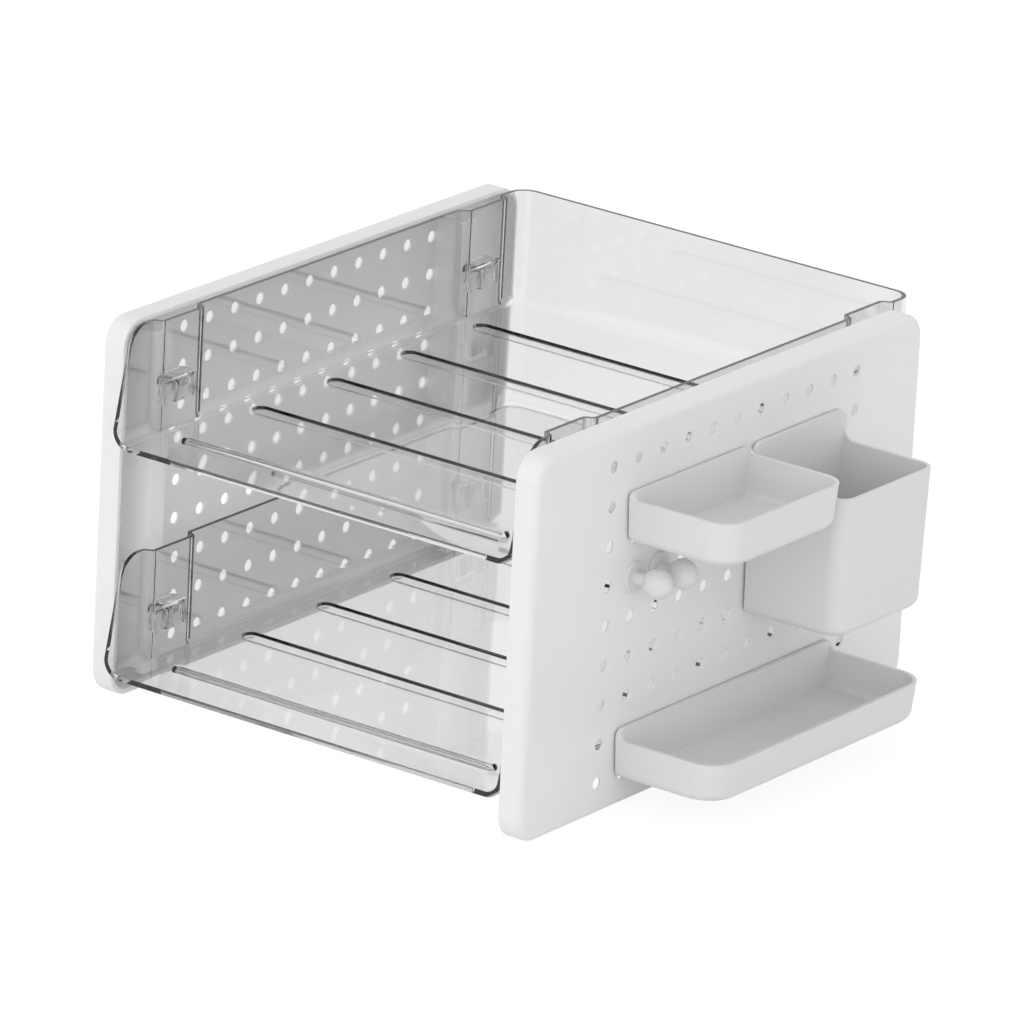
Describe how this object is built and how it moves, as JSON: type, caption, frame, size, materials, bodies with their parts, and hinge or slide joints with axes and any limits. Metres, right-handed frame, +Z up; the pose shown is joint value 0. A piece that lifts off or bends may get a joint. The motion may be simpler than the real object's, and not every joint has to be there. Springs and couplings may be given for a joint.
{
  "type": "pegboard desk organizer",
  "caption": "Two-tier desk organizer: clear letter trays hang between white pegboard sides, with a pen cup, open trays and ball pegs plugged into the holes.",
  "frame": {"origin": "on the desk, below the middle of the whole object's box", "axes": "+Z up, +Y from the open front of the trays to their back walls, +X towards the side that carries the holders"},
  "size_m": [0.3394, 0.337, 0.194],
  "materials": {
    "panel_white": "injection-moulded white ABS with a fine satin texture",
    "tray_clear": "clear injection-moulded polystyrene, polished mould surface",
    "holder_white": "injection-moulded white ABS with a fine satin texture"
  },
  "bodies": {
    "rack": {"left_panel": "panel_white", "right_panel": "panel_white", "upper_tray": "tray_clear", "lower_tray": "tray_clear"},
    "small_tray": {"small_tray": "holder_white"},
    "pen_cup": {"pen_cup": "holder_white"},
    "long_tray": {"long_tray": "holder_white"},
    "front_peg": {"front_ball_peg": "holder_white"},
    "rear_peg": {"rear_ball_peg": "holder_white"}
  },
  "joints": [
    {"name": "small_tray_pull", "type": "slide", "parent": "rack", "child": "small_tray", "axis": [1, 0, 0], "range_m": [0, 0.03]},
    {"name": "pen_cup_pull", "type": "slide", "parent": "rack", "child": "pen_cup", "axis": [1, 0, 0], "range_m": [0, 0.03]},
    {"name": "long_tray_pull", "type": "slide", "parent": "rack", "child": "long_tray", "axis": [1, 0, 0], "range_m": [0, 0.03]},
    {"name": "front_peg_pull", "type": "slide", "parent": "rack", "child": "front_peg", "axis": [1, 0, 0], "range_m": [0, 0.03]},
    {"name": "rear_peg_pull", "type": "slide", "parent": "rack", "child": "rear_peg", "axis": [1, 0, 0], "range_m": [0, 0.03]}
  ]
}
